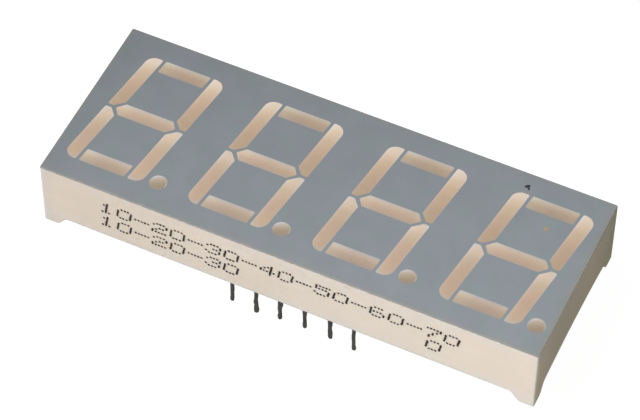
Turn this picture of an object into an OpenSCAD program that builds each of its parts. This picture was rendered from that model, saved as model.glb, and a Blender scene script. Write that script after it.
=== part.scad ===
// Four digit seven segment display module for through-hole mounting.
// A cream moulded reflector housing with a grey printed face holds 32 light
// wells filled with translucent resin. A circuit board with one die and one
// bond wire per well closes the wells from below, twelve round pins leave the
// board in two rows, and potting resin seals the back.
// Millimetres. Origin: centre of the pin grid on the plane the feet stand on.
// X runs along the row of digits, Y up the digits, Z out of the display face.

/* [Housing] */
// Length of the housing along X
body_l = 50.5; // [50:0.1:51.5]
// Width of the housing along Y
body_w = 19.0; // [18.8:0.1:20]
// Height from the feet to the display face
body_h = 7.8; // [7.6:0.1:9]
// Height of the corner feet below the walls
foot_h = 1.1; // [0.5:0.1:1.3]
// Length of a foot's flat along the long walls
foot_flat_x = 1.35; // [1:0.05:2]
// Length of a foot's flat along the end walls
foot_flat_y = 1.3; // [1:0.05:2]
// Length of the ramp between foot and wall
foot_ramp = 1.2; // [0.6:0.1:2]
// Height of the gap under the middle of the end walls
end_gap_h = 1.6; // [1:0.05:1.6]
// Rise of the gentle arch under the end walls
end_arch = 0.4; // [0:0.05:0.4]
// Thickness of the outer walls around the back recess
wall_t = 1.0; // [0.9:0.05:1.1]
// Radius of the four upright corners
corner_r = 0.15; // [0.1:0.05:0.5]
// Radius of the rim around the display face
rim_r = 0.03; // [0.03:0.01:0.1]

/* [Face] */
// Thickness of the grey printed coat
coat_t = 0.06; // [0.03:0.01:0.1]
// Distance from the rim's inner edge to the coat's edge
coat_inset = 0; // [0:0.01:0.2]

/* [Digits] */
// Height of a digit (0.56 inch)
digit_h = 14.25; // [13.9:0.01:14.4]
// Width of a digit, measured level
digit_w = 8.22; // [8.1:0.01:8.4]
// Distance from one digit to the next
digit_pitch = 12.7; // [12.6:0.01:12.8]
// The digits' offset from the middle of the face along Y
digit_y = -0.03; // [-0.1:0.01:0.1]
// Lean of the digits from upright, in degrees
slant = 8; // [5:0.5:10]
// Width of the upright bars
bar_w = 1.41; // [1.3:0.01:1.5]
// Height of the top and bottom bars
bar_h = 1.52; // [1.4:0.01:1.6]
// Height of the middle bar
mid_h = 1.52; // [1.4:0.01:1.6]
// Grey web between neighbouring bars
web = 0.32; // [0.25:0.01:0.4]
// Radius of the digit's four outer corners
outer_r = 1.0; // [0.6:0.05:1.2]
// Small radius of the other corners
inner_r = 0.16; // [0.08:0.01:0.2]
// Diameter of the decimal point
point_d = 1.7; // [1.5:0.05:1.8]
// Decimal point's distance right of the digit's centre line
point_x = 5.5; // [5.4:0.01:5.6]

/* [Light wells] */
// Depth of a well from face to board
well_depth = 4.2; // [3.8:0.1:4.3]
// Length at the well's floor as a share of its length at the face
floor_along = 0.5; // [0.4:0.05:0.8]
// Width at the well's floor as a share of its width at the face
floor_across = 0.68; // [0.6:0.02:0.9]

/* [Board and potting] */
// Thickness of the circuit board
board_t = 1.0; // [0.8:0.1:1.2]
// Gap between the board's edge and the housing
board_gap = 0.1; // [0.05:0.05:0.2]
// Thickness of the copper tracks
track_t = 0.035; // [0.03:0.005:0.07]
// Depth of potting resin under the board
potting_t = 0.9; // [0.8:0.1:1]

/* [Pins] */
// Pin diameter
pin_d = 0.5; // [0.45:0.01:0.55]
// Distance between neighbouring pins of a row
pin_pitch = 2.54; // [2.5:0.01:2.6]
// Distance between the two rows of pins
row_gap = 15.24; // [15:0.01:15.4]
// Side of a pin's squared root, from the board down to the walls' lower edge
root_s = 0.64; // [0.6:0.01:0.7]
// Pin length below the feet
pin_len = 4.5; // [3:0.1:8]
// Extra length of the longest pin of each corner
pin_extra = 0.35; // [0:0.05:0.5]

/* [Dies and wires] */
// Side of a square light-emitting die
die_s = 0.3; // [0.2:0.01:0.35]
// Height of a die
die_h = 0.2; // [0.12:0.01:0.25]
// Diameter of a bond wire
wire_d = 0.05; // [0.04:0.005:0.06]
// Distance from the die to the wire's landing pad
wire_span = 0.8; // [0.7:0.05:0.9]

/* [Hidden] */

// levels
z_face = body_h;
z_top = z_face - coat_t;
z_board = z_face - well_depth;
z_under = z_board - board_t;
z_back = z_under - potting_t;
lean = tan(slant);
hole_d = root_s * 1.44;
arc_n = 5;

// one digit's half sizes
hu = digit_w / 2;
hv = digit_h / 2;
iu = hu - bar_w;
iv = hv - bar_h;
au = iu - web;
gap2 = web / 2;
tip = iu + 0.8;
g_tip = iu + 0.8 - web * 1.15;
g_flat = g_tip - mid_h / 2 + 0.1;
outer = min(outer_r, (bar_w - 0.2) * 0.84);

// Corner list of one bar, anticlockwise: [level, upright, corner radius]
function corners(s) =
    s == "a" ? [[-au, iv, inner_r], [au, iv, inner_r], [au, hv, inner_r], [-au, hv, inner_r]] :
    s == "d" ? [[-au, -hv, inner_r], [au, -hv, inner_r], [au, -iv, inner_r], [-au, -iv, inner_r]] :
    s == "g" ? [[-g_flat, -mid_h / 2, inner_r], [g_flat, -mid_h / 2, inner_r], [g_tip, 0, inner_r],
                [g_flat, mid_h / 2, inner_r], [-g_flat, mid_h / 2, inner_r], [-g_tip, 0, inner_r]] :
    s == "b" ? [[hu, gap2, inner_r], [hu, hv, outer], [iu, hv, inner_r],
                [iu, tip - iu + gap2, inner_r], [tip, gap2, inner_r]] :
    s == "c" ? mirrored(corners("b"), 1, -1) :
    s == "f" ? mirrored(corners("b"), -1, 1) :
               turned(corners("b"));

function mirrored(p, sx, sy) = [for (i = [len(p) - 1:-1:0]) [p[i][0] * sx, p[i][1] * sy, p[i][2]]];
function turned(p) = [for (q = p) [-q[0], -q[1], q[2]]];
function unit(v) = v / norm(v);

// Corner list to outline, with arc_n steps around each corner
function outline(p) = let (m = len(p)) [for (i = [0:m - 1])
    let (c = [p[i][0], p[i][1]], r = p[i][2],
         a = unit([p[(i + m - 1) % m][0], p[(i + m - 1) % m][1]] - c),
         b = unit([p[(i + 1) % m][0], p[(i + 1) % m][1]] - c),
         half = acos(a * b) / 2,
         o = c + unit(a + b) * r / sin(half),
         t = c + a * r / tan(half) - o,
         a0 = atan2(t[1], t[0]))
    for (k = [0:arc_n]) let (w = a0 + (180 - 2 * half) * k / arc_n) o + r * [cos(w), sin(w)]];

// Middle of a bar, level and upright
function mid(s) =
    s == "a" ? [0, (iv + hv) / 2] : s == "d" ? [0, -(iv + hv) / 2] : s == "g" ? [0, 0] :
    s == "b" ? [(iu + hu) / 2, hv / 2] : s == "c" ? [(iu + hu) / 2, -hv / 2] :
    s == "f" ? [-(iu + hu) / 2, hv / 2] : [-(iu + hu) / 2, -hv / 2];
function level(s) = s == "a" || s == "d" || s == "g";

// Corner list of the same bar at the floor of its well
function floor_corners(s) = let (m = mid(s),
    ku = level(s) ? floor_along : floor_across, kv = level(s) ? floor_across : floor_along)
    [for (q = corners(s)) [m[0] + (q[0] - m[0]) * ku, m[1] + (q[1] - m[1]) * kv, min(q[2] * 0.5, 0.35)]];

function leaning(p) = [for (q = p) [q[0] + q[1] * lean, q[1], q[2]]];
function digit_x(i) = (i - 2.5) * digit_pitch + 0.06;
function at_z(p, z) = [for (q = p) [q[0], q[1], z]];

// Solid through a stack of outlines that share one point count
module loft(layers) {
    n = len(layers[0]);
    k = len(layers);
    pts = [for (l = layers) for (q = l) q];
    faces = concat(
        [[for (i = [0:n - 1]) i]],
        [for (l = [0:k - 2]) for (i = [0:n - 1]) [l * n + i, (l + 1) * n + i, l * n + (i + 1) % n]],
        [for (l = [0:k - 2]) for (i = [0:n - 1])
            [l * n + (i + 1) % n, (l + 1) * n + i, (l + 1) * n + (i + 1) % n]],
        [[for (i = [n - 1:-1:0]) (k - 1) * n + i]]);
    polyhedron(pts, faces);
}

// Space of one bar's well; over and under lengthen it past the face and floor
module bar_space(i, s, over = 0, under = 0) {
    top = outline(leaning(corners(s)));
    low = outline(leaning(floor_corners(s)));
    layers = concat(
        under > 0 ? [at_z(low, z_board - under)] : [],
        [at_z(low, z_board)], [at_z(top, z_face)],
        over > 0 ? [at_z(top, z_face + over)] : []);
    translate([digit_x(i), digit_y, 0]) loft(layers);
}

// Place of one digit's decimal point
function point_pos(i) = [digit_x(i) + point_x - (iv + hv) / 2 * lean, digit_y - (iv + hv) / 2];
module point_space(i, over = 0, under = 0) {
    translate([point_pos(i)[0], point_pos(i)[1], 0]) {
        translate([0, 0, z_board])
            cylinder(h = well_depth, d1 = point_d * floor_across, d2 = point_d, $fn = 64);
        if (under > 0) translate([0, 0, z_board - under])
            cylinder(h = under, d = point_d * floor_across, $fn = 64);
        if (over > 0) translate([0, 0, z_face]) cylinder(h = over, d = point_d, $fn = 64);
    }
}

bars = ["a", "b", "c", "d", "e", "f", "g"];
module all_wells(over = 0, under = 0) {
    for (i = [1:4]) {
        for (s = bars) bar_space(i, s, over, under);
        point_space(i, over, under);
    }
}

// Die and wire places: [x, y, direction of the wire in degrees]
function site(i, s) = s == "p"
    ? [point_pos(i)[0], point_pos(i)[1], 90]
    : [digit_x(i) + mid(s)[0] + mid(s)[1] * lean, digit_y + mid(s)[1], level(s) ? 0 : 90 - slant];
function span(s) = s == "p" ? min(0.62, wire_span) : wire_span;
module at_site(i, s) {
    p = site(i, s);
    translate([p[0], p[1], z_board]) rotate([0, 0, p[2]]) translate([-span(s) / 2, 0, 0]) children();
}

// A die, and the wire that arches from its top down to the landing pad;
// under lengthens both past the board's surface
module die(under = 0) translate([-die_s / 2, -die_s / 2, -under]) cube([die_s, die_s, die_h + under]);
module wire(s, under = 0) {
    r = span(s) / 2;
    translate([r, 0, die_h]) rotate([90, 0, 0])
        rotate_extrude(angle = 180, $fn = 48) translate([r, 0]) circle(d = wire_d, $fn = 24);
    translate([2 * r, 0, -under]) cylinder(h = die_h + under, d = wire_d, $fn = 24);
}

// Rounded rectangle outline, inset by e, with exact point count
function plate(l, w, r, e = 0) = let (x = l / 2 - max(r, e), y = w / 2 - max(r, e), q = max(r - e, 0.01))
    [for (c = [[x, y, 0], [-x, y, 90], [-x, -y, 180], [x, -y, 270]])
        for (k = [0:8]) let (a = c[2] + 90 * k / 8) [c[0] + q * cos(a), c[1] + q * sin(a)]];

// Side view of the gap between two feet, open at the bottom; top is its height
// in the middle, arch the rise of its upper edge from the ramps to the middle
module foot_gap(len_half, flat, through, top, arch = 0) {
    e = len_half - flat;
    m = e - foot_ramp;
    h = top - arch;
    n = 8;
    side = [for (k = [0:n]) let (t = k / n) [e - foot_ramp * t, h * (1 - cos(180 * t)) / 2]];
    bow = arch > 0 ? [for (k = [1:n - 1]) let (t = k / n) [m * (1 - t), top - arch * pow(1 - t, 2)]] : [];
    half = concat(side, bow);
    rotate([90, 0, 0]) translate([0, 0, -through / 2]) linear_extrude(height = through)
        polygon(concat([[-e, -1], [e, -1]], half,
            [for (k = [len(half) - 1:-1:0]) [-half[k][0], half[k][1]]]));
}

module housing() color([0.88, 0.84, 0.78]) difference() {
    loft(concat(
        [at_z(plate(body_l, body_w, corner_r), 0)],
        [for (k = [0:3]) let (a = 90 * k / 3)
            at_z(plate(body_l, body_w, corner_r, rim_r * (1 - cos(a))), z_top - rim_r + rim_r * sin(a))]));
    // recess for board and potting
    translate([-body_l / 2 + wall_t, -body_w / 2 + wall_t, -1])
        cube([body_l - 2 * wall_t, body_w - 2 * wall_t, z_board + 1]);
    all_wells(0.4, 0.4);
    foot_gap(body_l / 2, foot_flat_x, body_w + 2, foot_h);
    rotate([0, 0, 90]) foot_gap(body_w / 2, foot_flat_y, body_l + 2, end_gap_h, end_arch);
}

module face_coat() color([0.53, 0.56, 0.58]) difference() {
    loft([at_z(plate(body_l, body_w, corner_r, rim_r + coat_inset), z_top),
          at_z(plate(body_l, body_w, corner_r, rim_r + coat_inset), z_face)]);
    all_wells(0.4, 0.4);
}

module segment(i, s) color([0.82, 0.7, 0.6]) difference() {
    if (s == "p") point_space(i); else bar_space(i, s);
    at_site(i, s) { die(0.1); wire(s, 0.1); }
}

module led_dies(i) color([0.55, 0.35, 0.3]) for (s = concat(bars, ["p"])) at_site(i, s) die();
module bond_wires(i) color([0.85, 0.7, 0.35]) for (s = concat(bars, ["p"])) at_site(i, s) wire(s);

function pin_xy(k) = k <= 6
    ? [(k - 3.5) * pin_pitch, -row_gap / 2]
    : [(9.5 - k) * pin_pitch, row_gap / 2];
module at_pins() for (k = [1:12]) translate([pin_xy(k)[0], pin_xy(k)[1], 0]) children();

// Pins 2, 6, 8 and 12 are cut longest, and the module stands on those
function tip_z(k) = -pin_len - (k == 2 || k == 6 || k == 8 || k == 12 ? pin_extra : 0);
module pin(k) color([0.5, 0.5, 0.5]) translate([pin_xy(k)[0], pin_xy(k)[1], 0]) {
    z0 = tip_z(k);
    r = pin_d / 2;
    b = 0.17;
    rotate_extrude($fn = 48) polygon(concat([[0, z0]],
        [for (j = [0:4]) let (a = 90 * j / 4) [r - b + b * sin(a), z0 + b - b * cos(a)]],
        [[r, foot_h], [0, foot_h]]));
    root();
}

// Squared root of a pin; grow lengthens it both ways
module root(grow = 0) translate([-root_s / 2, -root_s / 2, foot_h - grow])
    cube([root_s, root_s, z_board - foot_h + 2 * grow]);

// Copper: landing pads on the board's top, rings round the pins, lines below
module pad(l, w, z) translate([-l / 2, -w / 2, z]) cube([l, w, track_t]);
module copper() {
    for (i = [1:4]) for (s = concat(bars, ["p"])) at_site(i, s) {
        translate([0, 0, -track_t]) { pad(0.44, 0.44, 0); translate([span(s), 0, 0]) pad(0.3, 0.4, 0); }
    }
    at_pins() translate([0, 0, z_under]) difference() {
        cylinder(h = track_t, d = 1.5, $fn = 48);
        translate([0, 0, -1]) cylinder(h = 2, d = hole_d, $fn = 48);
    }
    for (j = [0:7]) translate([-21.5, -4.2 + 1.2 * j - 0.2, z_under]) cube([43, 0.4, track_t]);
}
module board_tracks() color([0.8, 0.5, 0.3]) copper();

module board_plate(over = 0)
    translate([-body_l / 2 + wall_t + board_gap, -body_w / 2 + wall_t + board_gap, z_under])
        cube([body_l - 2 * (wall_t + board_gap), body_w - 2 * (wall_t + board_gap), board_t + over]);
module circuit_board() color([0.35, 0.5, 0.3]) difference() {
    board_plate();
    at_pins() translate([0, 0, z_under - 1]) cylinder(h = board_t + 2, d = hole_d, $fn = 48);
    copper();
}

// Solder fillet round a pin under the board, and the solder in the pin's hole
module solder_cone() translate([0, 0, z_under - 0.45])
    cylinder(h = 0.45, d1 = hole_d + 0.06, d2 = 1.36, $fn = 48);
module pin_solder() color([0.7, 0.7, 0.72]) at_pins() difference() {
    union() {
        solder_cone();
        translate([0, 0, z_under - 0.1]) cylinder(h = board_t + 0.1, d = hole_d, $fn = 48);
    }
    root(1);
}

module back_potting() color([0.8, 0.68, 0.58]) difference() {
    translate([-body_l / 2 + wall_t, -body_w / 2 + wall_t, z_back])
        cube([body_l - 2 * wall_t, body_w - 2 * wall_t, z_board - z_back]);
    board_plate(1);
    at_pins() {
        solder_cone();
        root(1);
    }
}

housing();
face_coat();
segment(1, "a");  // digit_1_segment_a
segment(1, "b");  // digit_1_segment_b
segment(1, "c");  // digit_1_segment_c
segment(1, "d");  // digit_1_segment_d
segment(1, "e");  // digit_1_segment_e
segment(1, "f");  // digit_1_segment_f
segment(1, "g");  // digit_1_segment_g
segment(1, "p");  // digit_1_point
segment(2, "a");  // digit_2_segment_a
segment(2, "b");  // digit_2_segment_b
segment(2, "c");  // digit_2_segment_c
segment(2, "d");  // digit_2_segment_d
segment(2, "e");  // digit_2_segment_e
segment(2, "f");  // digit_2_segment_f
segment(2, "g");  // digit_2_segment_g
segment(2, "p");  // digit_2_point
segment(3, "a");  // digit_3_segment_a
segment(3, "b");  // digit_3_segment_b
segment(3, "c");  // digit_3_segment_c
segment(3, "d");  // digit_3_segment_d
segment(3, "e");  // digit_3_segment_e
segment(3, "f");  // digit_3_segment_f
segment(3, "g");  // digit_3_segment_g
segment(3, "p");  // digit_3_point
segment(4, "a");  // digit_4_segment_a
segment(4, "b");  // digit_4_segment_b
segment(4, "c");  // digit_4_segment_c
segment(4, "d");  // digit_4_segment_d
segment(4, "e");  // digit_4_segment_e
segment(4, "f");  // digit_4_segment_f
segment(4, "g");  // digit_4_segment_g
segment(4, "p");  // digit_4_point
led_dies(1);  // digit_1_led_dies
led_dies(2);  // digit_2_led_dies
led_dies(3);  // digit_3_led_dies
led_dies(4);  // digit_4_led_dies
bond_wires(1);  // digit_1_bond_wires
bond_wires(2);  // digit_2_bond_wires
bond_wires(3);  // digit_3_bond_wires
bond_wires(4);  // digit_4_bond_wires
circuit_board();
board_tracks();
pin_solder();
back_potting();
pin(1);  // pin_1
pin(2);  // pin_2
pin(3);  // pin_3
pin(4);  // pin_4
pin(5);  // pin_5
pin(6);  // pin_6
pin(7);  // pin_7
pin(8);  // pin_8
pin(9);  // pin_9
pin(10);  // pin_10
pin(11);  // pin_11
pin(12);  // pin_12
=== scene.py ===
"""Looks of the four digit seven segment display module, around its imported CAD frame.

Lengths in the build functions are in millimetres, and MM turns them into metres.
"""

import math
import random

import bmesh
import bpy
from mathutils import Matrix, Vector


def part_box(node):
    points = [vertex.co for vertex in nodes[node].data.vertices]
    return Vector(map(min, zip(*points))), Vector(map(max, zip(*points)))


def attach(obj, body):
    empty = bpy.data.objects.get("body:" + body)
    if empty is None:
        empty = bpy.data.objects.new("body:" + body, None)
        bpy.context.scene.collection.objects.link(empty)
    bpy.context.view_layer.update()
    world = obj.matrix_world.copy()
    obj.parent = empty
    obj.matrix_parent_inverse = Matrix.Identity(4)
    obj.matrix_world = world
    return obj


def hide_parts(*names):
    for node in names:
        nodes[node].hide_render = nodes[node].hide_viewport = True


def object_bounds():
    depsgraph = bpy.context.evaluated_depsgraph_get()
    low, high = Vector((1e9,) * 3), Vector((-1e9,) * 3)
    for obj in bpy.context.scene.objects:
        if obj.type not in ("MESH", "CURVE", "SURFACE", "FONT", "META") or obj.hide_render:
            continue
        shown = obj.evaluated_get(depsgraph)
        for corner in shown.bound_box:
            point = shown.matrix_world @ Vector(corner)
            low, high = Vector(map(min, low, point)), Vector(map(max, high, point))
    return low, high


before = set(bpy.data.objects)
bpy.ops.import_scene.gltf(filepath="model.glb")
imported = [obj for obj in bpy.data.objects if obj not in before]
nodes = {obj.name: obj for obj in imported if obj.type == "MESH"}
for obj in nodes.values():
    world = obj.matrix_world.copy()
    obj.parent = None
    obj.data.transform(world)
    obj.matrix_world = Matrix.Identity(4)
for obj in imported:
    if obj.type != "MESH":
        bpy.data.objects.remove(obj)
cad_low, cad_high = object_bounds()
scene = bpy.context.scene
MM = 0.001

# ---------------------------------------------------------------- sizes, from the frame
house_low, house_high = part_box("housing")
coat_low, coat_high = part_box("face_coat")
Z_FACE = coat_high.z / MM
Z_COAT = coat_low.z / MM
X0, X1 = house_low.x / MM, house_high.x / MM
Y0, Y1 = house_low.y / MM, house_high.y / MM
Z_FLOOR = cad_low.z / MM

PITCH, SHIFT = 12.7, 0.06        # digit pitch and the row's offset
LEAN = math.tan(math.radians(8))  # lean of the digits
DIGIT_Y = -0.03                  # the digits' offset along Y
HU, HV, IU, IV, AU = 4.11, 7.125, 2.70, 5.605, 2.38


def digit_x(i):
    return (i - 2.5) * PITCH + SHIFT


def lin(r, g, b, gain=1.0):
    """Display colour 0..255 to a linear colour, divided by the light that falls on it."""
    out = []
    for c in (r, g, b):
        c = c / 255.0
        v = c / 12.92 if c <= 0.04045 else ((c + 0.055) / 1.055) ** 2.4
        out.append(min(0.98, v / gain))
    return (*out, 1.0)


# ---------------------------------------------------------------- node graph helper
class Graph:
    """Short names for building a material's node tree."""

    def __init__(self, name):
        self.mat = bpy.data.materials.new(name)
        self.mat.use_nodes = True
        self.tree = self.mat.node_tree
        self.tree.nodes.clear()
        self.out = self.node("ShaderNodeOutputMaterial")
        self.bsdf = self.node("ShaderNodeBsdfPrincipled")
        self.link(self.bsdf.outputs[0], self.out.inputs[0])
        tc = self.node("ShaderNodeTexCoord")
        s = self.node("ShaderNodeVectorMath", operation="SCALE")
        self.link(tc.outputs["Object"], s.inputs[0])
        s.inputs["Scale"].default_value = 1000.0
        self.p = s.outputs[0]            # position in millimetres
        sep = self.node("ShaderNodeSeparateXYZ")
        self.link(self.p, sep.inputs[0])
        self.x, self.y, self.z = sep.outputs

    def node(self, kind, **props):
        n = self.tree.nodes.new(kind)
        for k, v in props.items():
            setattr(n, k, v)
        return n

    def link(self, a, b):
        self.tree.links.new(a, b)

    def put(self, socket, value):
        if isinstance(value, bpy.types.NodeSocket):
            self.link(value, socket)
        elif value is not None:
            socket.default_value = value

    def math(self, op, a, b=None, c=None, clamp=False):
        n = self.node("ShaderNodeMath", operation=op, use_clamp=clamp)
        for s, v in zip(n.inputs, (a, b, c)):
            self.put(s, v)
        return n.outputs[0]

    def span(self, v, lo, hi, to_lo=0.0, to_hi=1.0, smooth=False):
        """v from lo..hi to to_lo..to_hi, held at the ends."""
        n = self.node("ShaderNodeMapRange", interpolation_type="SMOOTHSTEP" if smooth else "LINEAR")
        n.clamp = True
        for s, x in zip(n.inputs, (v, lo, hi, to_lo, to_hi)):
            self.put(s, x)
        return n.outputs[0]

    def noise(self, scale, detail=2.0, rough=0.5, vec=None, distort=0.0):
        n = self.node("ShaderNodeTexNoise")
        self.put(n.inputs["Vector"], vec or self.p)
        n.inputs["Scale"].default_value = scale
        n.inputs["Detail"].default_value = detail
        n.inputs["Roughness"].default_value = rough
        n.inputs["Distortion"].default_value = distort
        return n.outputs["Fac"]

    def scaled(self, sx, sy, sz, ox=0.0, oy=0.0, oz=0.0):
        n = self.node("ShaderNodeMapping")
        self.link(self.p, n.inputs["Vector"])
        n.inputs["Scale"].default_value = (sx, sy, sz)
        n.inputs["Location"].default_value = (ox, oy, oz)
        return n.outputs[0]

    def ramp(self, fac, stops, ease="LINEAR"):
        n = self.node("ShaderNodeValToRGB")
        n.color_ramp.interpolation = ease
        e = n.color_ramp.elements
        while len(e) < len(stops):
            e.new(0.5)
        for el, (at, col) in zip(e, sorted(stops, key=lambda s: s[0])):
            el.position = at
            el.color = col if len(col) == 4 else (*col, 1.0)
        self.put(n.inputs[0], fac)
        return n.outputs[0]

    def mix(self, fac, a, b, blend="MIX"):
        n = self.node("ShaderNodeMix", data_type="RGBA", blend_type=blend)
        self.put(n.inputs[0], fac)
        self.put(n.inputs[6], a)
        self.put(n.inputs[7], b)
        return n.outputs[2]

    def times(self, col, factor):
        """Colour times a grey factor socket."""
        n = self.node("ShaderNodeVectorMath", operation="SCALE")
        self.put(n.inputs[0], col)
        self.put(n.inputs["Scale"], factor)
        return n.outputs[0]

    def product(self, a, b):
        n = self.node("ShaderNodeVectorMath", operation="MULTIPLY")
        self.put(n.inputs[0], a)
        self.put(n.inputs[1], b)
        return n.outputs[0]

    def bump(self, height, depth_mm, strength=1.0, normal=None):
        n = self.node("ShaderNodeBump")
        n.inputs["Strength"].default_value = strength
        n.inputs["Distance"].default_value = depth_mm * MM
        self.put(n.inputs["Height"], height)
        if normal is not None:
            self.link(normal, n.inputs["Normal"])
        return n.outputs[0]

    def finish(self, colour, rough, normal=None, **fixed):
        self.put(self.bsdf.inputs["Base Color"], colour)
        self.put(self.bsdf.inputs["Roughness"], rough)
        if normal is not None:
            self.link(normal, self.bsdf.inputs["Normal"])
        for k, v in fixed.items():
            self.bsdf.inputs[k.replace("_", " ")].default_value = v
        return self.mat


# Light that reaches each side of the object in the scene's studio light,
# for a white matt surface: the colours below are divided by it.
L_TOP = 1.58
L_FRONT = 0.912
L_END = 0.295


# ---------------------------------------------------------------- materials
def housing_material():
    """Cream filled plastic: satin, faintly mottled and slightly yellowed, with the mould's fine grain,
    with painted shade over its walls and a painted highlight in patches under the upper edge."""
    g = Graph("cream_plastic")
    # painted shade: the cream is darker towards the left end and lighter towards the right
    base = g.ramp(g.span(g.x, X0, X1), [
        (0.0, lin(213.5, 202, 189, L_FRONT)),
        (0.3, lin(216, 204.5, 192, L_FRONT)),
        (0.55, lin(220, 209.5, 198, L_FRONT)),
        (0.8, lin(224, 213.5, 201.5, L_FRONT)),
        (1.0, lin(229, 217, 205, L_FRONT))])
    # painted shade: the front wall fades towards its left end and is greyer at that corner
    near = g.span(g.y, Y0 + 0.5, Y0 + 0.1)
    base = g.mix(g.math("MULTIPLY", near, g.span(g.x, X0 + 1.8, X0 + 0.6, 0.0, 1.0, smooth=True)), base,
                 g.product(base, (0.96, 0.978, 0.99)))
    base = g.mix(g.math("MULTIPLY", near, g.span(g.x, X0 + 0.55, X0 + 0.25, 0.0, 1.0, smooth=True)), base,
                 g.product(base, (0.965, 0.995, 1.10)))
    # the end wall on the right, with painted light and shade: lighter towards the front corner, a painted glow where
    # light comes round from the front wall, and darker and more yellow-green towards the back, painted shade
    stops = [(-9.5, (147, 144, 136)), (-9.2, (147, 139, 129.5)), (-9.0, (147, 136, 124.5)), (-8.8, (146, 134.5, 121.5)),
             (-8.4, (144, 132, 120)), (-8.0, (141, 130, 117)), (-7.0, (139, 129, 118)),
             (-6.0, (134.5, 126.5, 114)), (-5.0, (131.5, 125, 112)), (0.0, (131, 123, 109.5)),
             (3.0, (131.5, 124, 108.5)), (5.0, (129, 120.5, 108.5)), (7.0, (122.5, 117.5, 104)),
             (8.0, (119, 115.5, 98)), (9.5, (111, 109, 94))]
    side = g.ramp(g.span(g.y, -9.5, 9.5), [((at + 9.5) / 19, lin(*c, L_END)) for at, c in stops])
    # both are tinged a little towards their upper and lower edges
    base = g.product(base, g.ramp(g.span(g.z, 6.0, 7.6), [(0.0, (1.0, 1.0, 1.0)), (1.0, (1.0, 1.01, 1.05))]))
    base = g.product(base, g.ramp(g.span(g.z, 1.2, 2.4), [(0.0, (0.982, 1.008, 1.045)), (1.0, (1.0, 1.0, 1.0))]))
    tinge = [(4.0, (1.0, 1.0, 1.0)), (5.0, (1.02, 1.01, 1.035)), (6.5, (0.985, 0.985, 1.03)), (7.0, (0.99, 1.0, 1.085)),
             (7.3, (1.035, 1.035, 1.09)), (7.6, (1.09, 1.065, 1.03)), (7.8, (1.05, 1.01, 0.965))]
    side = g.product(side, g.ramp(g.span(g.z, 4.0, 7.8), [((at - 4.0) / 3.8, c) for at, c in tinge]))
    end = g.span(g.x, X1 - 0.12, X1 - 0.02)
    base = g.mix(end, base, side)
    # painted shade: a little darker towards the bottom
    low = g.span(g.z, 0.0, 5.0, 0.985, 1.0)
    cloud = g.span(g.noise(0.16, 3, 0.55), 0.3, 0.7, 0.975, 1.02)
    grain = g.span(g.noise(7.0, 3, 0.6), 0.3, 0.7, 0.985, 1.012)
    flow = g.span(g.noise(1.0, 2, 0.5, g.scaled(0.10, 0.5, 1.1)), 0.35, 0.7, 0.99, 1.008)
    col = g.times(base, g.math("MULTIPLY", g.math("MULTIPLY", cloud, grain), g.math("MULTIPLY", flow, low)))
    # sparse darker specks of filler
    speck = g.node("ShaderNodeTexVoronoi")
    g.link(g.p, speck.inputs["Vector"])
    speck.inputs["Scale"].default_value = 1.1
    dot = g.span(speck.outputs["Distance"], 0.045, 0.075, 0.90, 1.0)
    col = g.times(col, dot)
    # a painted highlight: under the upper edge the plastic is painted pale here and there, where the rounded edge
    # catches the light
    painted_edge_highlight = g.span(g.z, Z_COAT - 0.22, Z_COAT - 0.10)
    patch = g.span(g.noise(0.9, 3, 0.6, g.scaled(1, 1, 0.2)), 0.56, 0.66)
    col = g.mix(g.math("MULTIPLY", g.math("MULTIPLY", painted_edge_highlight, patch), 0.6), col, g.product(col, (1.12, 1.15, 1.20)))
    # the printed coat runs over the rounded rim
    wobble = g.span(g.noise(2.6, 3, 0.6), 0.3, 0.7, -0.015, 0.015)
    # less of it ran over the end wall's edge, but at the back
    short = g.math("MULTIPLY", g.span(g.x, X1 - 0.25, X1 - 0.12), g.span(g.y, 6.5, 1.5, 0.0, 0.04, smooth=True))
    ink = g.span(g.math("SUBTRACT", g.math("ADD", g.z, wobble), short), Z_COAT - 0.065, Z_COAT - 0.005)
    col = g.mix(g.math("MULTIPLY", ink, 0.8), col, lin(160, 157, 151, L_TOP))
    rough = g.span(g.noise(2.2, 4, 0.6), 0.3, 0.7, 0.42, 0.58)
    n = g.bump(g.noise(9.0, 4, 0.65), 0.004)
    n = g.bump(g.noise(0.5, 2, 0.5), 0.02, 0.6, n)
    # the filled plastic lets a little light through at its edges
    return g.finish(col, rough, n, Specular_IOR_Level=0.45, Subsurface_Weight=0.9,
                    Subsurface_Radius=(1.0, 0.92, 0.82), Subsurface_Scale=0.45 * MM)


# The coat carries painted shade: lighter towards the right and the front of the face, darker at its left end.
COAT = (134.6, 141.4, 146.5)                # display colour at the middle of the face
COAT_X, COAT_Y = 0.0040, -0.0080           # its change per millimetre


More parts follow.
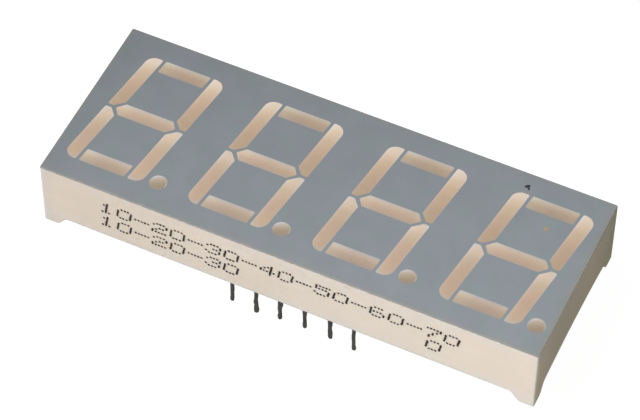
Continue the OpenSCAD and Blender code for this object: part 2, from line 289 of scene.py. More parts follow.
def coat_material():
    """Matt grey screen-printed ink, with faint clouds and screen grain, thinner along its rim, with painted shade
    across the face and a painted highlight along its front edge.
    """
    g = Graph("grey_ink")
    # painted shade: lighter towards the right and the front, darker at the left end
    painted_shade = g.math("ADD", 1.0, g.math("ADD", g.math("MULTIPLY", g.x, COAT_X), g.math("MULTIPLY", g.y, COAT_Y)))
    painted_shade = g.math("MULTIPLY", painted_shade, g.span(g.x, X0 + 0.5, X0 + 3.5, 0.94, 1.0, smooth=True))
    cloud = g.span(g.noise(0.35, 3, 0.55), 0.3, 0.7, 0.965, 1.035)
    grain = g.span(g.noise(6.0, 3, 0.7), 0.25, 0.75, 0.975, 1.025)
    col = g.times(lin(*COAT, L_TOP)[:3], g.math("MULTIPLY", painted_shade, g.math("MULTIPLY", cloud, grain)))
    hue = g.noise(0.5, 2, 0.5, g.scaled(1, 1, 1, 11.3, 4.1, 0))
    col = g.mix(g.span(hue, 0.40, 0.60), g.product(col, (1.025, 0.99, 1.03)), g.product(col, (0.97, 1.01, 0.985)))
    # the ink is thinner at the face's edges, so the cream plastic tinges it there, most along the front
    wander = g.span(g.noise(1.6, 3, 0.6), 0.3, 0.7, -0.05, 0.05)
    ex = g.math("SUBTRACT", X1, g.math("ABSOLUTE", g.x))
    ey = g.math("SUBTRACT", Y1, g.math("ABSOLUTE", g.y))
    edge = g.math("ADD", g.math("MINIMUM", ex, ey), wander)
    col = g.mix(g.span(edge, 0.60, 0.10, 0.0, 1.0, smooth=True), col, g.product(col, (1.045, 1.0, 0.945)))
    col = g.mix(g.span(g.x, X1 - 1.3, X1 - 0.5, 0.0, 1.0, smooth=True), col, g.product(col, (0.998, 0.988, 0.968)))
    col = g.mix(g.span(g.x, X1 - 0.50, X1 - 0.20, 0.0, 1.0, smooth=True), col, g.product(col, (0.99, 0.965, 0.935)))
    front = g.math("ADD", g.math("SUBTRACT", g.y, Y0), wander)
    col = g.mix(g.span(front, 1.5, 0.45, 0.0, 1.0, smooth=True), col, g.product(col, (1.008, 0.998, 0.984)))
    # along the very front edge the coat is painted paler: a painted highlight where the edge catches the light, with
    # the cream showing through the thin ink there
    col = g.mix(g.span(front, 0.23, 0.02, 0.0, 0.50, smooth=True), col, lin(186, 180, 173, L_TOP))
    rough = g.span(g.noise(5.0, 3, 0.6), 0.3, 0.7, 0.52, 0.66)
    n = g.bump(g.noise(11.0, 3, 0.6), 0.004)
    n = g.bump(g.noise(1.3, 2, 0.5), 0.006, 0.6, n)
    return g.finish(col, rough, n, Specular_IOR_Level=0.4)


def resin_base(g):
    """Local coordinates of a digit: u level, v up, both in millimetres."""
    cell = g.math("FRACT", g.math("DIVIDE", g.math("SUBTRACT", g.x, SHIFT), PITCH))
    local = g.math("MULTIPLY", g.math("SUBTRACT", cell, 0.5), PITCH)
    v = g.math("SUBTRACT", g.y, DIGIT_Y)
    u = g.math("SUBTRACT", local, g.math("MULTIPLY", v, LEAN))
    return u, v


def resin_finish(g, col):
    """Cast diffusing resin: smooth, glossy, faintly clouded, with a settled skin."""
    cloud = g.span(g.noise(1.2, 3, 0.55), 0.3, 0.7, 0.975, 1.025)
    fine = g.span(g.noise(4.0, 2, 0.5), 0.3, 0.7, 0.988, 1.012)
    col = g.times(col, g.math("MULTIPLY", cloud, fine))
    warm = g.noise(0.9, 2, 0.5, g.scaled(1, 1, 1, 3.7, 9.2, 0))
    col = g.mix(g.span(warm, 0.4, 0.65, 0.0, 0.6), col, g.product(col, (1.02, 0.99, 0.965)))
    rough = g.span(g.noise(1.6, 3, 0.5), 0.3, 0.7, 0.26, 0.38)
    n = g.bump(g.noise(1.1, 2, 0.4), 0.012, 0.7)
    return g.finish(col, rough, n, Specular_IOR_Level=0.5)


def upright_resin(name, low, high, along, side, gain):
    """Resin of an upright bar, with painted light and shade: light where the lit sloping end of the well shows through,
    deeper along it, and a painted highlight and shade along its edges.
    low, high: v of the bar's two ends; along: colours by v; side: centre of the bar in u."""
    g = Graph(name)
    u, v = resin_base(g)
    base = g.ramp(g.span(v, low, high), [((at - low) / (high - low), lin(*c, L_TOP / gain)) for at, c in along])
    # painted highlight along the bar's left edge and painted shade towards its right edge
    across = g.ramp(g.span(g.math("SUBTRACT", u, side), -0.72, 0.72), [
        (0.00, (1.06, 1.13, 1.28)), (0.08, (1.035, 1.09, 1.20)), (0.16, (1.03, 1.055, 1.13)),
        (0.28, (1.01, 1.02, 1.045)), (0.50, (1.0, 1.0, 1.0)), (0.70, (0.985, 0.985, 0.985)),
        (0.85, (0.97, 0.99, 1.03)), (0.95, (0.96, 1.0, 1.10)), (1.00, (0.98, 1.04, 1.18))])
    return resin_finish(g, g.product(base, across))


def level_resin(name, middle, rows, along):
    """Resin of a level bar, with painted light and shade: light along its upper edge and at its left end, deeper at the
    lower edge.
    rows: colours by v from the bar's middle; along: factors by u."""
    g = Graph(name)
    u, v = resin_base(g)
    base = g.ramp(g.span(g.math("SUBTRACT", v, middle), -0.78, 0.78),
                  [((at + 0.78) / 1.56, lin(*c, L_TOP)) for at, c in rows])
    lo, hi = along[0][0], along[-1][0]
    end = g.ramp(g.span(u, lo, hi), [((at - lo) / (hi - lo), c) for at, c in along])
    return resin_finish(g, g.product(base, end))


def point_resin():
    """Resin of the decimal point, with painted light and shade: pale at its upper left, brown at its lower right,
    fading at the rim.
    """
    g = Graph("resin_point")
    u, v = resin_base(g)
    du, dv = g.math("SUBTRACT", u, 5.5), g.math("SUBTRACT", v, -6.36)
    t = g.math("ADD", g.math("MULTIPLY", du, 0.45), g.math("MULTIPLY", dv, -0.9))
    stops = [(-0.85, (204, 197, 192)), (-0.6, (196, 184, 173)), (-0.45, (190, 176, 162)), (-0.3, (184, 170, 155)),
             (-0.15, (179, 165, 147)), (0.0, (174, 158, 138)), (0.2, (168, 152, 131)), (0.4, (165, 148, 128)),
             (0.55, (161, 146, 132)), (0.70, (157, 147, 137)), (0.85, (155, 149, 142))]
    base = g.ramp(g.span(t, -0.85, 0.85), [((at + 0.85) / 1.7, lin(*c, L_TOP)) for at, c in stops])
    r = g.math("SQRT", g.math("ADD", g.math("MULTIPLY", du, du), g.math("MULTIPLY", dv, dv)))
    # painted highlight: paler and bluer round the rim at the left
    rim = g.math("MULTIPLY", g.span(r, 0.55, 0.85), g.span(du, 0.2, -0.5))
    col = g.mix(rim, base, g.product(base, (1.03, 1.10, 1.20)))
    # a painted highlight: the wall of the well shows as a pale crescent at the right
    crescent = g.math("MULTIPLY", g.span(r, 0.66, 0.80), g.span(g.math("ADD", du, g.math("MULTIPLY", dv, 0.9)), 0.45, 0.85))
    return resin_finish(g, g.mix(g.math("MULTIPLY", crescent, 0.6), col, lin(196, 194, 194, L_TOP)))


# Painted light and shade of the upright bars, colours by v: lighter towards each bar's upper end, where the lit end
# wall of its well shows through, and deeper towards its lower end.
UPPER_SHADING = [(0.1, (182, 160, 137)), (1.2, (183, 160, 137)), (2.4, (187, 162, 140)), (3.6, (194, 168, 145)),
         (4.8, (201, 178, 154)), (5.7, (213, 190, 166)), (6.6, (222, 205, 188)), (7.12, (222, 208, 196))]
LOWER_SHADING = [(-7.12, (190, 180, 168)), (-6.7, (194, 173, 156)), (-6.3, (196, 171, 148)), (-4.5, (193, 168, 148)),
         (-3.3, (195, 170, 149)), (-2.1, (199, 179, 156)), (-0.9, (216, 195, 176)), (-0.2, (209, 198, 188))]
resins = {
    "a": level_resin("resin_a", 6.36, [
        (-0.78, (163, 149, 138)), (-0.61, (167, 152, 139)), (-0.36, (174, 154, 137)), (0.0, (178, 157, 138)),
        (0.34, (187, 170, 153)), (0.50, (188, 175, 161)), (0.64, (187, 178, 169)), (0.78, (192, 185, 178))],
        [(-2.6, (1.21, 1.29, 1.28)), (-2.0, (1.185, 1.265, 1.245)), (-1.6, (1.16, 1.20, 1.19)),
         (-1.2, (1.13, 1.15, 1.155)), (-0.8, (1.095, 1.105, 1.105)), (-0.4, (1.06, 1.063, 1.066)),
         (0.0, (1.05, 1.045, 1.045)), (1.2, (1.045, 1.045, 1.03)), (2.6, (1.06, 1.07, 1.08))]),
    "d": level_resin("resin_d", -6.36, [
        (-0.78, (168, 154, 142)), (-0.64, (171, 156, 143)), (-0.34, (178, 159, 142)), (0.0, (184, 164, 145)),
        (0.36, (192, 175, 160)), (0.50, (192, 178, 166)), (0.66, (186, 179, 173)), (0.78, (190, 184, 180))],
        [(-2.6, (1.23, 1.28, 1.30)), (-2.0, (1.195, 1.245, 1.26)), (-1.6, (1.16, 1.19, 1.19)),
         (-1.2, (1.12, 1.13, 1.145)), (-0.8, (1.075, 1.07, 1.11)), (-0.4, (1.055, 1.055, 1.08)),
         (0.0, (1.03, 1.03, 1.025)), (1.2, (1.045, 1.02, 1.04)), (2.6, (1.07, 1.07, 1.07))]),
    "g": level_resin("resin_g", 0.0, [
        (-0.78, (178, 161, 147)), (-0.65, (180, 162, 147)), (-0.35, (187, 164, 145)), (0.0, (193, 170, 149)),
        (0.35, (198, 179, 160)), (0.50, (198, 183, 168)), (0.65, (193, 182, 174)), (0.78, (194, 186, 180))],
        [(-3.2, (1.26, 1.32, 1.42)), (-2.8, (1.24, 1.27, 1.35)), (-2.4, (1.19, 1.24, 1.27)),
         (-2.0, (1.16, 1.19, 1.22)), (-1.6, (1.12, 1.12, 1.155)), (-1.0, (1.08, 1.075, 1.105)),
         (0.0, (1.045, 1.04, 1.05)), (1.2, (1.025, 1.03, 1.03)), (2.2, (1.025, 1.03, 1.02)),
         (2.8, (1.05, 1.06, 1.09)), (3.2, (1.08, 1.10, 1.14))]),
    "b": upright_resin("resin_b", 0.0, HV, UPPER_SHADING, (HU + IU) / 2, 1.055),
    "f": upright_resin("resin_f", 0.0, HV, UPPER_SHADING, -(HU + IU) / 2, 1.05),
    "c": upright_resin("resin_c", -HV, 0.0, LOWER_SHADING, (HU + IU) / 2, 1.06),
    "e": upright_resin("resin_e", -HV, 0.0, LOWER_SHADING, -(HU + IU) / 2, 1.02),
    "point": point_resin(),
}


def ink_material():
    g = Graph("dark_ink")
    col = g.ramp(g.noise(8.0, 3, 0.6), [(0.3, lin(40, 28, 16, L_FRONT)), (0.7, lin(62, 47, 34, L_FRONT))])
    return g.finish(col, g.span(g.noise(12, 2, 0.5), 0.3, 0.7, 0.5, 0.7))


def pin_material():
    """Dip-tinned wire: dull dark grey metal with runs, pits and a slightly brighter crest."""
    g = Graph("tinned_wire")
    runs = g.noise(2.2, 4, 0.6, g.scaled(1, 1, 0.35))
    col = g.ramp(runs, [(0.3, (0.19, 0.19, 0.185)), (0.5, (0.26, 0.26, 0.255)), (0.72, (0.34, 0.335, 0.325))])
    rough = g.span(g.noise(6.0, 3, 0.6), 0.3, 0.7, 0.34, 0.58)
    n = g.bump(g.noise(4.5, 3, 0.6, g.scaled(1, 1, 0.5)), 0.012)
    return g.finish(col, rough, n, Metallic=1.0)


def potting_material():
    """Poured sealing resin, seen from behind: pale, slightly glossy, with soft clouds and small bubbles."""
    g = Graph("potting_resin")
    cloud = g.noise(0.25, 4, 0.6)
    col = g.ramp(cloud, [(0.3, lin(205, 186, 164)), (0.5, lin(214, 197, 176)), (0.7, lin(221, 206, 187))])
    v = g.node("ShaderNodeTexVoronoi")
    g.link(g.p, v.inputs["Vector"])
    v.inputs["Scale"].default_value = 0.9
    bubble = g.span(v.outputs["Distance"], 0.05, 0.12, 0.0, 1.0, smooth=True)
    col = g.times(col, g.span(bubble, 0, 1, 0.86, 1.0))
    n = g.bump(bubble, 0.03, 0.8)
    n = g.bump(g.noise(0.45, 3, 0.5), 0.05, 0.7, n)
    return g.finish(col, g.span(g.noise(1.5, 3, 0.5), 0.3, 0.7, 0.22, 0.36), n, Specular_IOR_Level=0.5)


def board_material():
    """Glass fibre laminate under green solder mask: the weave shows through as a fine check."""
    g = Graph("green_laminate")
    wx = g.math("SINE", g.math("MULTIPLY", g.x, 2 * math.pi / 0.5))
    wy = g.math("SINE", g.math("MULTIPLY", g.y, 2 * math.pi / 0.5))
    weave = g.math("MULTIPLY", wx, wy)
    base = g.ramp(g.noise(0.3, 3, 0.5), [(0.3, lin(38, 92, 52)), (0.7, lin(52, 110, 62))])
    col = g.times(base, g.span(weave, -1, 1, 0.9, 1.08))
    n = g.bump(weave, 0.01, 0.7)
    return g.finish(col, g.span(g.noise(3, 2, 0.5), 0.3, 0.7, 0.34, 0.46), n)


def copper_material():
    g = Graph("copper_foil")
    col = g.ramp(g.noise(3.0, 4, 0.6), [(0.3, (0.60, 0.28, 0.15)), (0.55, (0.80, 0.42, 0.25)), (0.75, (0.88, 0.52, 0.34))])
    n = g.bump(g.noise(8.0, 3, 0.6, g.scaled(1, 6, 1)), 0.003)
    return g.finish(col, g.span(g.noise(4, 3, 0.6), 0.3, 0.7, 0.28, 0.48), n, Metallic=1.0)


def solder_material():
    g = Graph("solder")
    col = g.ramp(g.noise(2.5, 4, 0.6), [(0.3, (0.42, 0.42, 0.43)), (0.7, (0.66, 0.66, 0.68))])
    n = g.bump(g.noise(5.0, 3, 0.5), 0.01)
    return g.finish(col, g.span(g.noise(5, 3, 0.6), 0.3, 0.7, 0.25, 0.42), n, Metallic=1.0)


def die_material():
    """Light-emitting chip: dark red crystal."""
    g = Graph("chip_crystal")
    col = g.ramp(g.noise(6.0, 2, 0.5), [(0.3, (0.16, 0.035, 0.03)), (0.7, (0.28, 0.07, 0.05))])
    return g.finish(col, g.span(g.noise(9, 2, 0.5), 0.3, 0.7, 0.18, 0.32))


def wire_material():
    g = Graph("bond_wire")
    col = g.ramp(g.noise(9.0, 2, 0.5), [(0.3, (0.86, 0.58, 0.22)), (0.7, (0.98, 0.72, 0.34))])
    return g.finish(col, g.span(g.noise(12, 2, 0.5), 0.3, 0.7, 0.2, 0.32), Metallic=1.0)


def paint(obj, mat):
    """Gives every slot of a mesh this material."""
    if not obj.material_slots:
        obj.data.materials.append(mat)
    for s in obj.material_slots:
        s.material = mat


M = {
    "housing": housing_material(), "coat": coat_material(), "ink": ink_material(), "pin": pin_material(),
    "potting": potting_material(), "board": board_material(), "copper": copper_material(),
    "solder": solder_material(), "die": die_material(), "wire": wire_material(),
}
for name, obj in nodes.items():
    if name == "housing":
        paint(obj, M["housing"])
    elif name == "face_coat":
        paint(obj, M["coat"])
    elif "_segment_" in name:
        paint(obj, resins[name[-1]])
    elif name.endswith("_point"):
        paint(obj, resins["point"])
    elif name.endswith("_led_dies"):
        paint(obj, M["die"])
    elif name.endswith("_bond_wires"):
        paint(obj, M["wire"])
    elif name == "circuit_board":
        paint(obj, M["board"])
    elif name == "board_tracks":
        paint(obj, M["copper"])
    elif name == "pin_solder":
        paint(obj, M["solder"])
    elif name == "back_potting":
        paint(obj, M["potting"])
    elif name.startswith("pin_"):
        paint(obj, M["pin"])


# ---------------------------------------------------------------- mesh helpers
def make_mesh(name, verts, faces, mat, smooth=False):
    me = bpy.data.meshes.new(name)
    me.from_pydata([Vector(v) * MM for v in verts], [], faces)
    me.update()
    o = bpy.data.objects.new(name, me)
    scene.collection.objects.link(o)
    paint(o, mat)
    if smooth:
        for f in me.polygons:
            f.use_smooth = True
    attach(o, "root")
    return o


# ---------------------------------------------------------------- pins
def pin_mesh(name, cx, cy, z_tip, profile, seed):
    """A dip-tinned wire: squared root, then a round wire whose solder coat swells and leans a little.
    profile: (z, radius, dx, dy) from the wall's lower edge to the tip."""
    rnd = random.Random(seed)
    n = 32
    phases = [(rnd.uniform(0, 6.28), rnd.uniform(0.004, 0.010), k) for k in (2, 3, 5)]
    low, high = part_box(name)
    top = high.z / MM
    rings = []
    for z in (top, top - 0.9, 1.5, 1.22):
        rings.append((z, 0.32, 0.0, 0.0, 6.0))     # squared root
    rings.append((1.12, 0.29, 0.0, 0.0, 3.0))
    steps = 64
    for i in range(steps + 1):
        z = 1.02 + (z_tip + 0.16 - 1.02) * i / steps
        for (za, ra, xa, ya), (zb, rb, xb, yb) in zip(profile, profile[1:]):
            if zb <= z <= za:
                t = (za - z) / (za - zb)
                t = t * t * (3 - 2 * t)
                rings.append((z, ra + (rb - ra) * t, xa + (xb - xa) * t, ya + (yb - ya) * t, 2.0))
                break
    _, r_end, x_end, y_end, _ = rings[-1]
    for k in range(1, 7):                             # rounded tip
        a = math.pi / 2 * k / 7
        rings.append((z_tip + 0.16 - 0.16 * math.sin(a), r_end * (0.25 + 0.75 * math.cos(a)) if k < 7 else 0, x_end, y_end, 2.0))
    verts, faces = [], []
    for z, r, dx, dy, power in rings:
        for k in range(n):
            a = 2 * math.pi * (k + 0.5) / n
            c, s = math.cos(a), math.sin(a)
            # superellipse: power 2 is round, 6 is nearly square
            q = r / (abs(c) ** power + abs(s) ** power) ** (1 / power)
            if power == 2.0:
                q += sum(amp * math.sin(m * a + ph + z * (1.7 + 0.6 * m)) for ph, amp, m in phases)
            verts.append((cx + dx + q * c, cy + dy + q * s, z))
    for i in range(len(rings) - 1):
        for k in range(n):
            a, b = i * n + k, i * n + (k + 1) % n
            faces.append((a, a + n, b + n, b))
    verts.append((cx, cy, top))
    verts.append((cx + x_end, cy + y_end, z_tip))
    t0, t1 = len(verts) - 2, len(verts) - 1
    last = (len(rings) - 1) * n
    for k in range(n):
        faces.append((t0, k, (k + 1) % n))
        faces.append((t1, last + (k + 1) % n, last + k))
    o = make_mesh(name + "_wire", verts, faces, M["pin"], smooth=True)
    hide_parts(name)
    return o


# Each pin of the front row: its tip, and its radius and lean from the wall's lower edge down (z, r, dx)
FRONT_PINS = {
    1: (-4.42, [(1.1, 0.25, 0), (-1.0, 0.215, 0.03), (-2.1, 0.205, 0.055), (-2.44, 0.196, 0.06), (-2.76, 0.202, 0.06),
                (-3.08, 0.191, 0.05), (-3.4, 0.197, 0.04), (-3.88, 0.202, 0.02), (-4.06, 0.211, 0.014), (-4.5, 0.18, 0.017)]),
    2: (-4.78, [(1.1, 0.25, 0), (-1.0, 0.21, 0.02), (-2.2, 0.19, 0.03), (-2.55, 0.189, 0.014), (-2.87, 0.20, 0),
                (-3.03, 0.218, -0.022), (-3.19, 0.236, -0.033), (-3.35, 0.229, -0.02), (-3.51, 0.204, 0.01),
                (-3.67, 0.20, 0.02), (-4.0, 0.22, 0.012), (-4.34, 0.254, 0.046), (-4.50, 0.25, 0.042), (-4.9, 0.19, 0.036)]),
    3: (-4.45, [(1.1, 0.25, 0), (-1.0, 0.24, 0.02), (-2.1, 0.256, 0.03), (-2.33, 0.25, 0.02), (-2.49, 0.235, -0.016),
                (-2.81, 0.22, -0.05), (-3.14, 0.20, -0.036), (-3.3, 0.192, -0.03), (-3.62, 0.204, -0.02),
                (-3.94, 0.231, -0.053), (-4.1, 0.225, -0.038), (-4.5, 0.18, -0.036)]),
    4: (-4.33, [(1.1, 0.25, 0), (-1.0, 0.225, 0), (-2.0, 0.222, 0.01), (-2.43, 0.20, 0.022), (-2.6, 0.188, 0.015),
                (-3.07, 0.187, 0.011), (-3.56, 0.194, 0.016), (-3.88, 0.213, 0.012), (-4.04, 0.207, 0.025), (-4.4, 0.165, 0.055)]),
    5: (-4.43, [(1.1, 0.25, 0), (-1.0, 0.235, 0.06), (-2.1, 0.24, 0.11), (-2.52, 0.217, 0.12), (-2.68, 0.196, 0.1),
                (-3.0, 0.20, 0.105), (-3.33, 0.221, 0.1), (-3.65, 0.228, 0.122), (-3.97, 0.238, 0.113),
                (-4.14, 0.23, 0.138), (-4.5, 0.19, 0.158)]),
    6: (-4.85, [(1.1, 0.25, 0), (-1.0, 0.205, 0.02), (-2.2, 0.184, 0.02), (-2.44, 0.179, 0.005), (-2.76, 0.181, 0),
                (-3.25, 0.181, 0.002), (-3.57, 0.187, 0.018), (-4.06, 0.188, 0.02), (-4.22, 0.197, 0.03),
                (-4.39, 0.208, 0.044), (-4.55, 0.214, 0.053), (-4.9, 0.175, 0.068)]),
}
for k in range(1, 13):
    low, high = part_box(f"pin_{k}")
    cx, cy = (low.x + high.x) / 2 / MM, (low.y + high.y) / 2 / MM
    tip = low.z / MM
    rnd = random.Random(400 + k)
    if k in FRONT_PINS:
        tip = max(tip, FRONT_PINS[k][0])
        profile = [(z, r, dx, 0.0) for z, r, dx in FRONT_PINS[k][1]]
    else:
        profile = [(1.1, 0.25, 0, 0), (-1.0, rnd.uniform(0.20, 0.225), 0, 0),
                   (-2.2, rnd.uniform(0.188, 0.205), rnd.uniform(-0.02, 0.02), rnd.uniform(-0.02, 0.02)),
                   (-3.3, rnd.uniform(0.19, 0.22), rnd.uniform(-0.02, 0.02), rnd.uniform(-0.02, 0.02)),
                   (-4.1, rnd.uniform(0.21, 0.238), rnd.uniform(-0.02, 0.02), rnd.uniform(-0.02, 0.02)),
                   (tip - 0.05, 0.20, 0.0, 0.0)]
    pin_mesh(f"pin_{k}", cx, cy, tip, profile, 70 + k)


# ---------------------------------------------------------------- printed counting numbers on the front wall
FONT = {  # 5 by 7 dots, rows from the top
    "0": ("01110", "10001", "10001", "10001", "10001", "10001", "01110"),
    "1": ("00100", "01100", "00100", "00100", "00100", "00100", "01110"),
    "2": ("01110", "10001", "00001", "00110", "01000", "10000", "11111"),
    "3": ("01110", "10001", "00001", "00110", "00001", "10001", "01110"),
    "4": ("00010", "00110", "01010", "10010", "11111", "00010", "00010"),
    "5": ("11111", "10000", "11110", "00001", "00001", "10001", "01110"),
    "6": ("01110", "10000", "10000", "11110", "10001", "10001", "01110"),
    "7": ("11111", "00001", "00010", "00100", "00100", "01000", "01000"),
    "8": ("01110", "10001", "10001", "01110", "10001", "10001", "01110"),
    "9": ("01110", "10001", "10001", "01111", "00001", "00001", "01110"),
    "-": ("00000", "00000", "00000", "11111", "00000", "00000", "00000"),
}
COL, ROW, SLOPE = 0.332, 0.213, 0.18    # column and row pitch, and lean of the print, per mm of height
ADVANCE = 1.853                          # from one figure to the next
DOT_X, DOT_Z = 0.122, 0.128              # dot radius, across and upright
PROUD = 0.010                            # thickness of the ink


def dots(name, text, x0, z0, rnd):
    """One line of dot-matrix numbers; x0, z0: upper left dot of the line."""
    verts, faces = [], []
    y_wall, y_top = Y0 + 0.002, Y0 - PROUD
    x = x0
    for ch in text:
        for r, line in enumerate(FONT[ch]):
            for c, on in enumerate(line):
                if on == "0":
                    continue
                px = x + c * COL - r * ROW * SLOPE + rnd.uniform(-0.018, 0.018)
                pz = z0 - r * ROW + rnd.uniform(-0.012, 0.012)
                ra, rb = DOT_X * rnd.uniform(0.9, 1.1), DOT_Z * rnd.uniform(0.9, 1.1)
                tilt = rnd.uniform(-0.3, 0.3)
                n = 12
                i0 = len(verts)
                for y, k in ((y_wall, 1.0), (y_top + 0.004, 0.97), (y_top, 0.80)):
                    for j in range(n):
                        a = 2 * math.pi * j / n
                        ex, ez = ra * k * math.cos(a), rb * k * math.sin(a)
                        verts.append((px + ex * math.cos(tilt) - ez * math.sin(tilt), y,
                                      pz + ex * math.sin(tilt) + ez * math.cos(tilt)))
                for L in range(2):
                    for j in range(n):
                        a, b = i0 + L * n + j, i0 + L * n + (j + 1) % n
                        faces.append((a, b, b + n, a + n))
                faces.append(tuple(i0 + 2 * n + j for j in range(n)))
                faces.append(tuple(i0 + j for j in range(n - 1, -1, -1)))
        x += ADVANCE
    return make_mesh(name, verts, faces, M["ink"])


rnd = random.Random(11)
dots("wall_numbers_upper", "10-20-30-40-50-60-70", -18.87, 5.95, rnd)
dots("wall_numbers_lower", "10-20-30", -18.94, 3.92, rnd)
dots("wall_number_end", "0", 14.57, 4.08, rnd)


# ---------------------------------------------------------------- small marks of wear and dirt, and two painted highlights
def blot(name, outline, at, across, up, out, height, mat, rounds=2):
    """A thin patch with a soft rim. outline: points in the plane; at, across, up, out: the plane's frame;
    height: how far its middle stands proud, in millimetres."""
    pts = [Vector((u, v)) for u, v in outline]
    for _ in range(rounds):                       # round the corners off
        pts = [q for a, b in zip(pts, pts[1:] + pts[:1]) for q in (a * 0.75 + b * 0.25, a * 0.25 + b * 0.75)]
    centre = sum(pts, Vector((0, 0))) / len(pts)
    n = len(pts)
    at, across, up, out = Vector(at), Vector(across), Vector(up), Vector(out)
    verts, faces = [], []
    for k, h in ((1.0, -0.002), (0.93, 0.55), (0.72, 0.9), (0.35, 1.0)):
        for q in pts:
            w = centre + (q - centre) * k
            verts.append(at + across * w.x + up * w.y + out * (h * height if h > 0 else h))
    verts.append(at + across * centre.x + up * centre.y + out * height)
    verts.append(at + across * centre.x + up * centre.y - out * 0.002)
    for L in range(3):
        for k in range(n):
            a, b = L * n + k, L * n + (k + 1) % n
            faces.append((a, b, b + n, a + n))
    top, under = len(verts) - 2, len(verts) - 1
    for k in range(n):
        faces.append((3 * n + k, 3 * n + (k + 1) % n, top))
        faces.append(((k + 1) % n, k, under))
    return make_mesh(name, verts, faces, mat, smooth=True)


def mark_material(name, dark, light, rough):
    g = Graph(name)
    col = g.ramp(g.noise(6.0, 3, 0.6), [(0.35, dark), (0.65, light)])
    n = g.bump(g.noise(12.0, 3, 0.6), 0.004)
    return g.finish(col, g.span(g.noise(9, 2, 0.5), 0.3, 0.7, rough, rough + 0.15), n)


soot = mark_material("soot", lin(26, 32, 35, L_TOP), lin(50, 56, 60, L_TOP), 0.5)
rust = mark_material("brown_grit", lin(154, 139, 106, L_TOP), lin(176, 159, 131, L_TOP), 0.5)
# painted highlights: near-white glints on the front wall's upper edge
chip = mark_material("edge_glint_paint", lin(248, 244, 235, L_FRONT), lin(255, 252, 246, L_FRONT), 0.4)
scuff = mark_material("scuff", lin(200, 190, 176, L_FRONT), lin(212, 202, 188, L_FRONT), 0.6)
pale = mark_material("pale_grit", lin(158, 145, 124, 0.32), lin(170, 158, 138, 0.32), 0.5)
X, Y, Z = Vector((1, 0, 0)), Vector((0, 1, 0)), Vector((0, 0, 1))
TOP = Z_FACE - 0.002
# a dark three-tailed blot above the fourth digit
blot("face_blot", [(-0.33, -0.19), (-0.34, 0.03), (-0.19, 0.22), (0.02, 0.32), (0.18, 0.31), (0.14, 0.13), (0.16, 0.0),
                   (0.25, -0.12), (0.30, -0.27), (0.20, -0.35), (0.08, -0.27), (0.0, -0.12), (-0.13, -0.14)],
     (16.87, 7.90, TOP), X, Y, Z, 0.007, soot)
# a brown grain between the fourth digit's bars
blot("face_grain", [(-0.24, 0.11), (-0.11, 0.24), (0.13, 0.23), (0.24, 0.02), (0.20, -0.21), (0.02, -0.29), (-0.18, -0.16)],
     (20.25, 4.09, TOP), X, Y, Z, 0.007, rust)
# two painted highlights, glints on the upper edge of the front wall, and a scuff on it
blot("edge_glint_1", [(-0.20, 0.03), (0.0, 0.06), (0.22, 0.0), (0.12, -0.09), (-0.10, -0.08)],
     (19.02, Y0, 7.66), X, Z, -Y, 0.006, chip)
blot("edge_glint_2", [(-0.16, 0.04), (0.04, 0.06), (0.24, 0.01), (0.10, -0.07), (-0.12, -0.08)],
     (21.30, Y0, 7.67), X, Z, -Y, 0.006, chip)
blot("edge_scuff", [(-0.34, 0.10), (-0.08, 0.09), (0.36, -0.06), (0.20, -0.13), (-0.20, -0.02)],
     (6.44, Y0, 7.27), X, Z, -Y, 0.004, scuff)
# a pale grain on the end wall
blot("end_grain", [(-0.10, 0.18), (0.08, 0.20), (0.10, -0.10), (-0.02, -0.24), (-0.12, -0.06)],
     (X1 - 0.004, 6.49, 3.93), Y, Z, X, 0.004, pale)


# ---------------------------------------------------------------- studio
def floor():
    bm = bmesh.new()
    n = 96
    ring = [bm.verts.new((1.6 * math.cos(2 * math.pi * k / n), 1.6 * math.sin(2 * math.pi * k / n), 0)) for k in range(n)]
    bm.faces.new(ring)
    me = bpy.data.meshes.new("floor")
    bm.to_mesh(me)
    bm.free()
    o = bpy.data.objects.new("floor", me)
    o.location = (0, 0, Z_FLOOR * MM)
    scene.collection.objects.link(o)
    g = Graph("floor_paper")
    fibre = g.span(g.noise(0.4, 3, 0.5), 0.3, 0.7, 0.097, 0.103)
    grey = g.node("ShaderNodeCombineColor")
    for s in grey.inputs[:3]:
        g.link(fibre, s)
    m = g.finish(grey.outputs[0], 0.95, Specular_IOR_Level=0.0)
    g.bsdf.inputs["Emission Color"].default_value = (1.0, 1.0, 1.0, 1.0)
    g.bsdf.inputs["Emission Strength"].default_value = 0.96
    paint(o, m)
    o.visible_diffuse = False
    o.visible_glossy = False
    return o


floor()


def area(name, direction, distance, size, power, target=(0, 0, 0), colour=(1, 1, 1)):
    light = bpy.data.lights.new(name, "AREA")
    light.shape = "DISK"
    light.size = size
    light.energy = power
    light.color = colour
    o = bpy.data.objects.new(name, light)
    d = Vector(direction).normalized()
    o.location = Vector(target) + d * distance
    o.rotation_euler = d.to_track_quat("Z", "Y").to_euler()
    scene.collection.objects.link(o)
    return o


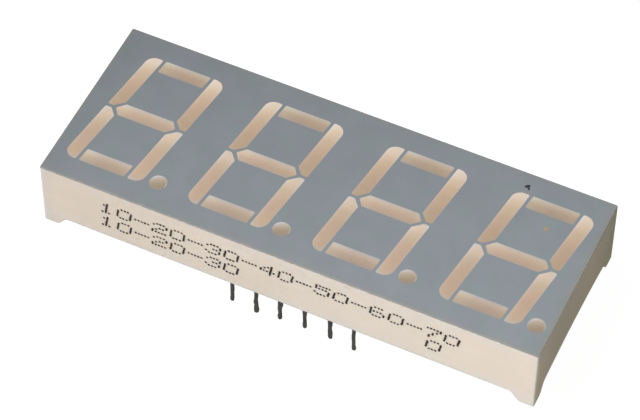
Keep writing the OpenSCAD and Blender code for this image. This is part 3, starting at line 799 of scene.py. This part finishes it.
# radiance at distance D from a disk of area A and power P: E = P / (pi * D^2) about
KEY = 1.575
D = 0.9
area("key", (-0.335, -0.50, 0.80), D, 0.42, KEY * math.pi * math.pi * D * D)
area("back_fill", (0.25, 0.85, 0.40), 0.9, 0.4, 0.20 * math.pi * math.pi * 0.81)
low_lamp = area("back_low", (0.06, 0.99, 0.09), 0.9, 0.4, 0.45 * math.pi * math.pi * 0.81)
low_lamp.visible_glossy = False           # it lights the back wall without a glare over the face

world = bpy.data.worlds.new("studio")
world.use_nodes = True
scene.world = world
wt = world.node_tree
wt.nodes.clear()
wo = wt.nodes.new("ShaderNodeOutputWorld")
soft = wt.nodes.new("ShaderNodeBackground")
soft.inputs["Color"].default_value = (1.0, 0.975, 0.895, 1)
soft.inputs["Strength"].default_value = 0.23
paper = wt.nodes.new("ShaderNodeBackground")
paper.inputs["Color"].default_value = (1, 1, 1, 1)
paper.inputs["Strength"].default_value = 1.1
path = wt.nodes.new("ShaderNodeLightPath")
both = wt.nodes.new("ShaderNodeMixShader")
wt.links.new(path.outputs["Is Camera Ray"], both.inputs[0])
wt.links.new(soft.outputs[0], both.inputs[1])
wt.links.new(paper.outputs[0], both.inputs[2])
wt.links.new(both.outputs[0], wo.inputs[0])

# ---------------------------------------------------------------- camera
ROT = (2.4311, 0.5465, -0.1803)          # turn of the object in the camera's view, as an axis times an angle
MOVE = (0.7058, -2.2160, 288.0547)       # face centre in the camera's view, millimetres
FOCAL = 3101.54                          # in pixels of a 640 wide image
turn = Matrix.Rotation(Vector(ROT).length, 3, Vector(ROT).normalized())
flip = Matrix(((1, 0, 0), (0, -1, 0), (0, 0, -1)))
cam_data = bpy.data.cameras.new("camera")
cam_data.sensor_fit = "HORIZONTAL"
cam_data.sensor_width = 36.0
cam_data.lens = FOCAL * 36.0 / 640.0
cam_data.clip_start, cam_data.clip_end = 0.01, 10.0
cam = bpy.data.objects.new("camera", cam_data)
world_turn = (flip @ turn).transposed()
place = -(turn.transposed() @ Vector(MOVE)) + Vector((0, 0, Z_FACE))
cam.matrix_world = Matrix.Translation(place * MM) @ world_turn.to_4x4()
scene.collection.objects.link(cam)
scene.camera = cam

scene.view_settings.view_transform = "Standard"
scene.view_settings.look = "None"
scene.view_settings.exposure = 0.0
scene.view_settings.gamma = 1.0
